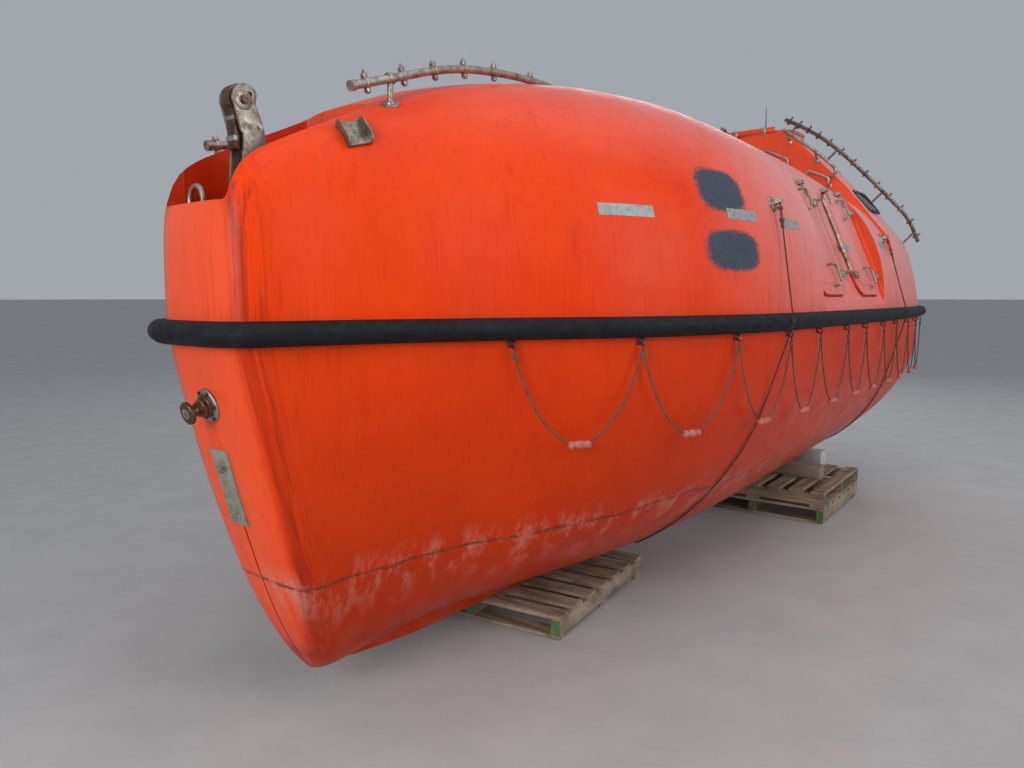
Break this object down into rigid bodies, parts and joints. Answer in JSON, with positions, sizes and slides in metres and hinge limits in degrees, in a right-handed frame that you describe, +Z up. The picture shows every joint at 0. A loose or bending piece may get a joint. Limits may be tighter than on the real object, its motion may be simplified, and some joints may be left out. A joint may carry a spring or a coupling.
{
  "type": "totally enclosed lifeboat on pallet stands",
  "caption": "Totally enclosed orange lifeboat with side hatches, conning tower, lifting hooks, fender, lifelines and a steering nozzle, set down on timber pallets.",
  "frame": {"origin": "on the ground under the middle of the boat, midway between the outer faces of the fender", "axes": "+X towards the bow, +Y to port, +Z up"},
  "size_m": [6.176, 2.326, 3.12],
  "materials": {
    "black_paint": "matt",
    "black_rubber": "matt",
    "bronze": "dull",
    "liner_grp": "matt",
    "orange_gelcoat": "semi-gloss",
    "rope": "worn",
    "rusty_steel": "rusty",
    "weathered_steel": "weathered",
    "weathered_timber": "weathered",
    "window_glass": "clear"
  },
  "bodies": {
    "root": {"hull_shell": "orange_gelcoat", "canopy_forward": "orange_gelcoat", "conning_tower": "orange_gelcoat", "fender": "black_rubber", "aft_window_port": "window_glass", "side_window_port": "window_glass", "aft_window_starboard": "window_glass", "side_window_starboard": "window_glass", "front_window": "window_glass", "fore_hook_frame": "weathered_steel", "aft_hook_frame": "weathered_steel", "fore_spray_pipe_port": "weathered_steel", "tower_spray_pipe_port": "weathered_steel", "fore_spray_pipe_starboard": "weathered_steel", "tower_spray_pipe_starboard": "weathered_steel", "hatch_rail_port": "weathered_steel", "tower_grab_port": "weathered_steel", "hatch_rail_starboard": "weathered_steel", "tower_grab_starboard": "weathered_steel", "bow_bollard": "weathered_steel", "bow_plate": "weathered_steel", "painter_ring": "weathered_steel", "lobe_bracket_port": "weathered_steel", "lobe_bracket_starboard": "weathered_steel", "lifeline_port": "rope", "lifeline_starboard": "rope", "gripe_eye_fore_port": "weathered_steel", "gripe_wire_fore_port": "weathered_steel", "gripe_eye_fore_starboard": "weathered_steel", "gripe_wire_fore_starboard": "weathered_steel", "gripe_eye_aft_port": "weathered_steel", "gripe_wire_aft_port": "weathered_steel", "gripe_eye_aft_starboard": "weathered_steel", "gripe_wire_aft_starboard": "weathered_steel", "propeller_shaft": "weathered_steel", "skeg_shoe": "rusty_steel", "inner_liner": "liner_grp", "engine_block": "black_paint", "helm_seat": "black_paint", "helm_console": "liner_grp", "pallet_front": "weathered_timber", "pallet_rear_lower": "weathered_timber", "pallet_rear_upper": "weathered_timber", "timber_beam": "weathered_timber", "bilge_block": "liner_grp", "roof_rail": "weathered_steel", "searchlight": "weathered_steel", "aerial": "black_paint"},
    "fore_hatch_port_leaf": {"fore_hatch_port": "orange_gelcoat"},
    "mid_hatch_port_leaf": {"mid_hatch_port": "orange_gelcoat"},
    "fore_hatch_starboard_leaf": {"fore_hatch_starboard": "orange_gelcoat"},
    "mid_hatch_starboard_leaf": {"mid_hatch_starboard": "orange_gelcoat"},
    "aft_door_leaf": {"aft_door": "orange_gelcoat"},
    "roof_hatch_lid": {"roof_hatch": "orange_gelcoat"},
    "fore_hook_body": {"fore_hook": "weathered_steel"},
    "aft_hook_body": {"aft_hook": "weathered_steel"},
    "steering_nozzle_body": {"steering_nozzle": "orange_gelcoat"},
    "propeller_body": {"propeller": "bronze"}
  },
  "joints": [
    {"name": "fore_hatch_port_hinge", "type": "hinge", "parent": "root", "child": "fore_hatch_port_leaf", "pos_m": [-0.175, 0.80129, 2.2296], "axis": [1, 0, 0], "range_deg": [0, 90]},
    {"name": "fore_hatch_starboard_hinge", "type": "hinge", "parent": "root", "child": "fore_hatch_starboard_leaf", "pos_m": [-0.175, -0.80129, 2.2296], "axis": [-1, 0, 0], "range_deg": [0, 90]},
    {"name": "mid_hatch_port_hinge", "type": "hinge", "parent": "root", "child": "mid_hatch_port_leaf", "pos_m": [-0.875, 0.80129, 2.2296], "axis": [1, 0, 0], "range_deg": [0, 90]},
    {"name": "mid_hatch_starboard_hinge", "type": "hinge", "parent": "root", "child": "mid_hatch_starboard_leaf", "pos_m": [-0.875, -0.80129, 2.2296], "axis": [-1, 0, 0], "range_deg": [0, 90]},
    {"name": "aft_door_hinge", "type": "hinge", "parent": "root", "child": "aft_door_leaf", "pos_m": [-2.7848, -0.645, 1.938], "axis": [0.5408, 0, 0.8411], "range_deg": [0, 110]},
    {"name": "roof_hatch_hinge", "type": "hinge", "parent": "root", "child": "roof_hatch_lid", "pos_m": [-1.646, 0, 2.819], "axis": [0, 1, 0], "range_deg": [0, 100]},
    {"name": "fore_hook_release", "type": "hinge", "parent": "root", "child": "fore_hook_body", "pos_m": [2.83, 0, 2.219], "axis": [0, 1, 0], "range_deg": [0, 70]},
    {"name": "aft_hook_release", "type": "hinge", "parent": "root", "child": "aft_hook_body", "pos_m": [-2.702, 0, 2.219], "axis": [0, -1, 0], "range_deg": [0, 60]},
    {"name": "steering", "type": "hinge", "parent": "root", "child": "steering_nozzle_body", "pos_m": [-2.675, 0, 0.765], "axis": [0, 0, 1], "range_deg": [-30, 30]},
    {"name": "propeller_spin", "type": "hinge", "parent": "root", "child": "propeller_body", "pos_m": [-2.675, 0, 0.765], "axis": [1, 0, 0], "continuous": true}
  ]
}
